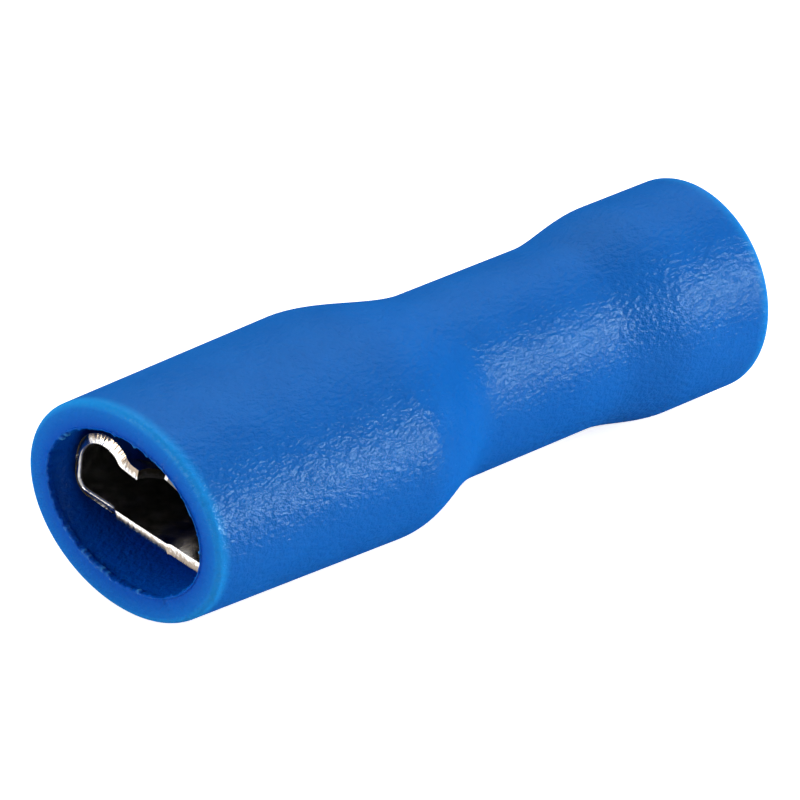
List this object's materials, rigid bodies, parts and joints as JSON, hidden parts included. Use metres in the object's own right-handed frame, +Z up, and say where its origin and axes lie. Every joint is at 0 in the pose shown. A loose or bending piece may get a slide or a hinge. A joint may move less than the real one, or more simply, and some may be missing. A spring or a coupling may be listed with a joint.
{
  "type": "female spade terminal",
  "caption": "Fully insulated female spade terminal: folded brass receptacle and crimp barrel in a blue sleeve with oval mouth and round wire end.",
  "frame": {"origin": "point on the resting surface under the middle of the sleeve's overall box", "axes": "+Y along the sleeve from the oval tab mouth to the round wire end, +X across the wide side of the mouth, +Z up from the receptacle's floor to its curls"},
  "size_m": [0.0076, 0.0212, 0.0061],
  "materials": {
    "sleeve_vinyl": "satin moulded vinyl with a fine grained skin",
    "tinned_brass": "bright tin plate over brass, sheared edges"
  },
  "bodies": {
    "root": {"insulating_sleeve": "sleeve_vinyl", "terminal": "tinned_brass"}
  },
  "joints": []
}
